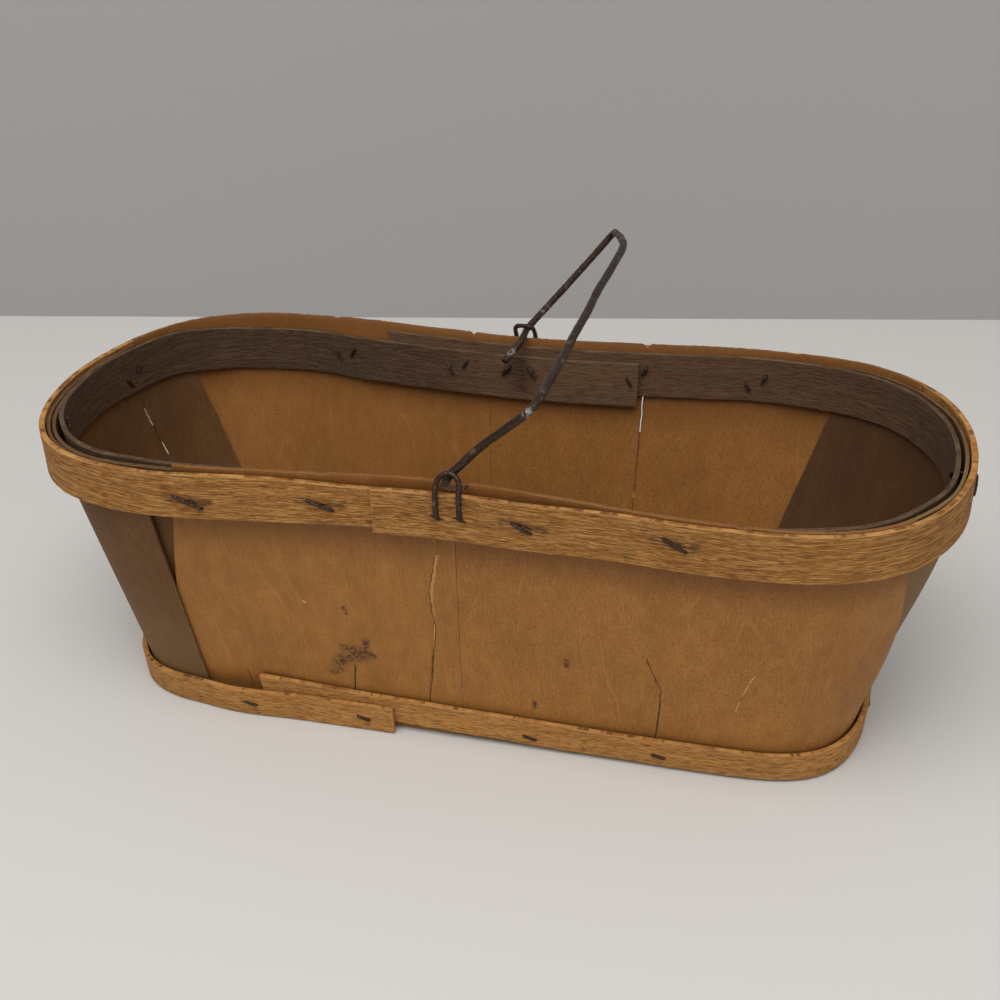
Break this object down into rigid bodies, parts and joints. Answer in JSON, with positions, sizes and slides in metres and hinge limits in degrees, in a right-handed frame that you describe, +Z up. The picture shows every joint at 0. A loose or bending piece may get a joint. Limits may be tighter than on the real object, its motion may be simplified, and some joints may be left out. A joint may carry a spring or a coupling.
{
  "type": "wooden basket",
  "caption": "Long market basket of thin stained wood sheets stapled between bent bands, with a solid bottom board and a swinging wire bail.",
  "frame": {"origin": "middle of the bottom board's underside, which is the surface the basket stands on", "axes": "+X along the basket's length towards its right end, +Y towards its back, +Z up"},
  "size_m": [0.3583, 0.1768, 0.1755],
  "materials": {
    "side_sheet_wood": "orange-brown stain, worn, long grain",
    "end_sheet_wood": "grey-brown weathered, dull",
    "band_wood": "tan-brown stain, worn at the edges",
    "inner_band_wood": "dark grey-brown, dull",
    "board_wood": "planed, dusty",
    "staple_wire": "dark, tarnished",
    "bail_wire": "dark, tarnished, smooth"
  },
  "bodies": {
    "basket": {"side_sheet_front_left": "side_sheet_wood", "side_sheet_front_right": "side_sheet_wood", "side_sheet_back_right": "side_sheet_wood", "side_sheet_back_left": "side_sheet_wood", "end_lining_left": "end_sheet_wood", "end_lining_right": "end_sheet_wood", "end_wrap_left": "end_sheet_wood", "outer_top_band": "band_wood", "bottom_hoop": "band_wood", "inner_top_band": "inner_band_wood", "bottom_board": "board_wood", "band_staple_01": "staple_wire", "band_staple_02": "staple_wire", "band_staple_03": "staple_wire", "band_staple_04": "staple_wire", "band_staple_05": "staple_wire", "band_staple_06": "staple_wire", "band_staple_07": "staple_wire", "band_staple_08": "staple_wire", "band_staple_09": "staple_wire", "band_staple_10": "staple_wire", "band_staple_11": "staple_wire", "hoop_staple_01": "staple_wire", "hoop_staple_02": "staple_wire", "hoop_staple_03": "staple_wire", "hoop_staple_04": "staple_wire", "hoop_staple_05": "staple_wire", "hoop_staple_06": "staple_wire", "hoop_staple_07": "staple_wire", "hoop_staple_08": "staple_wire", "hoop_staple_09": "staple_wire", "hoop_staple_10": "staple_wire", "eye_staple_front": "staple_wire", "eye_staple_rear": "staple_wire"},
    "bail": {"bail_handle": "bail_wire"}
  },
  "joints": [
    {"name": "bail_swing", "type": "hinge", "parent": "basket", "child": "bail", "pos_m": [-0.00002, -0.0012, 0.1248], "axis": [-0.0435, 0.9991, 0], "range_deg": [-130, 46]}
  ]
}
